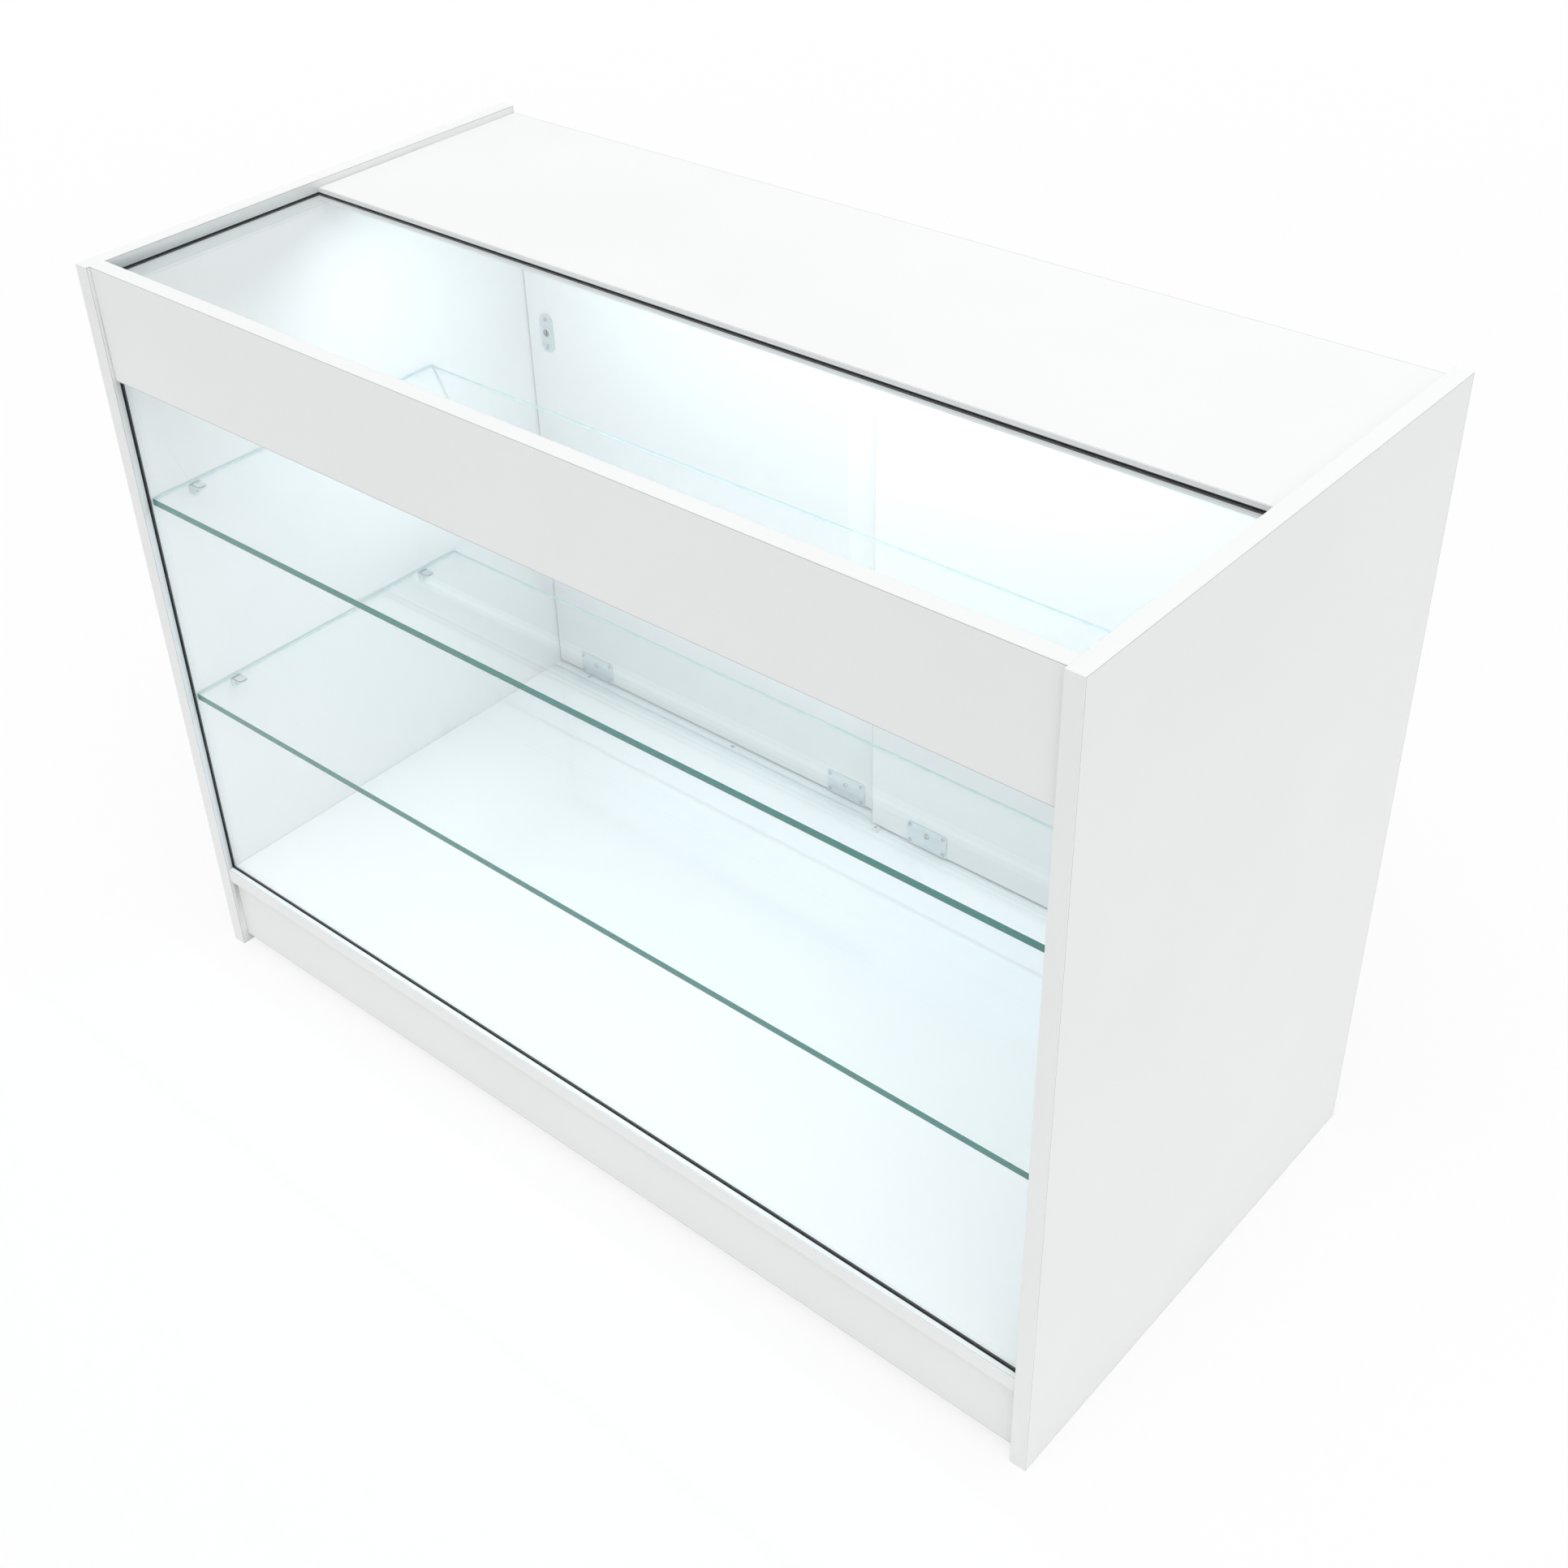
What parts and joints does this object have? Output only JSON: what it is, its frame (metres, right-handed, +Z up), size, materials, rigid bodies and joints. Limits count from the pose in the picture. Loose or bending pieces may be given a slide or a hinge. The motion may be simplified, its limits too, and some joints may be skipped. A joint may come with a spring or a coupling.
{
  "type": "shop counter",
  "caption": "White shop display counter with glass front, half-glass top, glass shelves, lit inside, and lockable sliding doors at the back.",
  "frame": {"origin": "on the floor, under the middle of the counter", "axes": "+X along the counter to the right seen from the customer's side, -Y towards the customer, +Z up"},
  "size_m": [1.2, 0.59, 0.895],
  "materials": {
    "melamine_board": "satin white melamine",
    "clear_glass": "clear, green edges",
    "black_rubber": "matte",
    "clear_pad": "matte",
    "zinc_steel": "satin zinc",
    "screw_steel": "zinc plated",
    "lock_brass": "nickel plated",
    "track_aluminium": "satin anodised",
    "white_plastic": "matte",
    "gland_rubber": "matte",
    "light_board": "white board",
    "light_diffuser": "opal",
    "beech": "raw"
  },
  "bodies": {
    "carcass": {"base_panel": "melamine_board", "cam_bolts": "screw_steel", "cam_discs": "screw_steel", "door_guide_block": "white_plastic", "front_fascia": "melamine_board", "front_glass": "clear_glass", "front_glass_gaskets": "black_rubber", "front_plinth": "melamine_board", "left_side_panel": "melamine_board", "light_cable_gland": "gland_rubber", "light_channel": "track_aluminium", "light_clip_screws": "screw_steel", "light_clips": "zinc_steel", "light_diffuser": "light_diffuser", "light_end_caps": "white_plastic", "light_strip": "light_board", "lock_strike_plates": "zinc_steel", "lock_strike_screws": "screw_steel", "lower_shelf": "clear_glass", "lower_track": "track_aluminium", "rear_plinth": "melamine_board", "right_side_panel": "melamine_board", "shelf_bracket_screws": "screw_steel", "shelf_brackets": "zinc_steel", "shelf_pads": "clear_pad", "top_glass": "clear_glass", "top_glass_gaskets": "black_rubber", "track_screws": "screw_steel", "upper_shelf": "clear_glass", "upper_track": "track_aluminium", "wood_dowels": "beech", "worktop": "melamine_board"},
    "left_door": {"left_door_finger_pull": "zinc_steel", "left_door_lock_case": "screw_steel", "left_door_lock_escutcheon": "zinc_steel", "left_door_lock_plate": "zinc_steel", "left_door_lock_screws": "screw_steel", "left_door_panel": "melamine_board", "left_door_roller_axles": "screw_steel", "left_door_roller_housings": "zinc_steel", "left_door_roller_screws": "screw_steel", "left_door_top_guides": "white_plastic"},
    "right_door": {"right_door_finger_pull": "zinc_steel", "right_door_lock_case": "screw_steel", "right_door_lock_escutcheon": "zinc_steel", "right_door_lock_plate": "zinc_steel", "right_door_lock_screws": "screw_steel", "right_door_panel": "melamine_board", "right_door_roller_axles": "screw_steel", "right_door_roller_housings": "zinc_steel", "right_door_roller_screws": "screw_steel", "right_door_top_guides": "white_plastic"},
    "left_closing_wheel": {"left_door_closing_wheel": "white_plastic"},
    "left_meeting_wheel": {"left_door_meeting_wheel": "white_plastic"},
    "left_lock_barrel": {"left_door_lock_barrel": "lock_brass"},
    "left_hook_bolt": {"left_door_hook_bolt": "screw_steel"},
    "right_closing_wheel": {"right_door_closing_wheel": "white_plastic"},
    "right_meeting_wheel": {"right_door_meeting_wheel": "white_plastic"},
    "right_lock_barrel": {"right_door_lock_barrel": "lock_brass"},
    "right_hook_bolt": {"right_door_hook_bolt": "screw_steel"}
  },
  "joints": [
    {"name": "left_door_slide", "type": "slide", "parent": "carcass", "child": "left_door", "axis": [1, 0, 0], "range_m": [0, 0.561]},
    {"name": "left_closing_wheel_spin", "type": "hinge", "parent": "left_door", "child": "left_closing_wheel", "pos_m": [-0.508, 0.289, 0.1236], "axis": [0, 1, 0], "continuous": true},
    {"name": "left_meeting_wheel_spin", "type": "hinge", "parent": "left_door", "child": "left_meeting_wheel", "pos_m": [-0.076, 0.289, 0.1236], "axis": [0, 1, 0], "continuous": true},
    {"name": "left_lock_turn", "type": "hinge", "parent": "left_door", "child": "left_lock_barrel", "pos_m": [-0.5475, 0.289, 0.619], "axis": [0, -1, 0], "range_deg": [0, 90]},
    {"name": "left_hook_swing", "type": "hinge", "parent": "left_door", "child": "left_hook_bolt", "pos_m": [-0.572, 0.289, 0.611], "axis": [0, -1, 0], "range_deg": [0, 90]},
    {"name": "right_door_slide", "type": "slide", "parent": "carcass", "child": "right_door", "axis": [1, 0, 0], "range_m": [-0.561, 0]},
    {"name": "right_closing_wheel_spin", "type": "hinge", "parent": "right_door", "child": "right_closing_wheel", "pos_m": [0.508, 0.269, 0.1236], "axis": [0, 1, 0], "continuous": true},
    {"name": "right_meeting_wheel_spin", "type": "hinge", "parent": "right_door", "child": "right_meeting_wheel", "pos_m": [0.064, 0.269, 0.1236], "axis": [0, 1, 0], "continuous": true},
    {"name": "right_lock_turn", "type": "hinge", "parent": "right_door", "child": "right_lock_barrel", "pos_m": [0.5475, 0.269, 0.619], "axis": [0, 1, 0], "range_deg": [0, 90]},
    {"name": "right_hook_swing", "type": "hinge", "parent": "right_door", "child": "right_hook_bolt", "pos_m": [0.572, 0.269, 0.611], "axis": [0, 1, 0], "range_deg": [0, 90]}
  ],
  "couplings": [
    {"joint": "left_closing_wheel_spin", "follows": "left_door_slide", "rad_per_m": 111.11},
    {"joint": "left_meeting_wheel_spin", "follows": "left_door_slide", "rad_per_m": 111.11},
    {"joint": "left_hook_swing", "follows": "left_lock_turn", "ratio": 1},
    {"joint": "right_closing_wheel_spin", "follows": "right_door_slide", "rad_per_m": 111.11},
    {"joint": "right_meeting_wheel_spin", "follows": "right_door_slide", "rad_per_m": 111.11},
    {"joint": "right_hook_swing", "follows": "right_lock_turn", "ratio": 1}
  ]
}
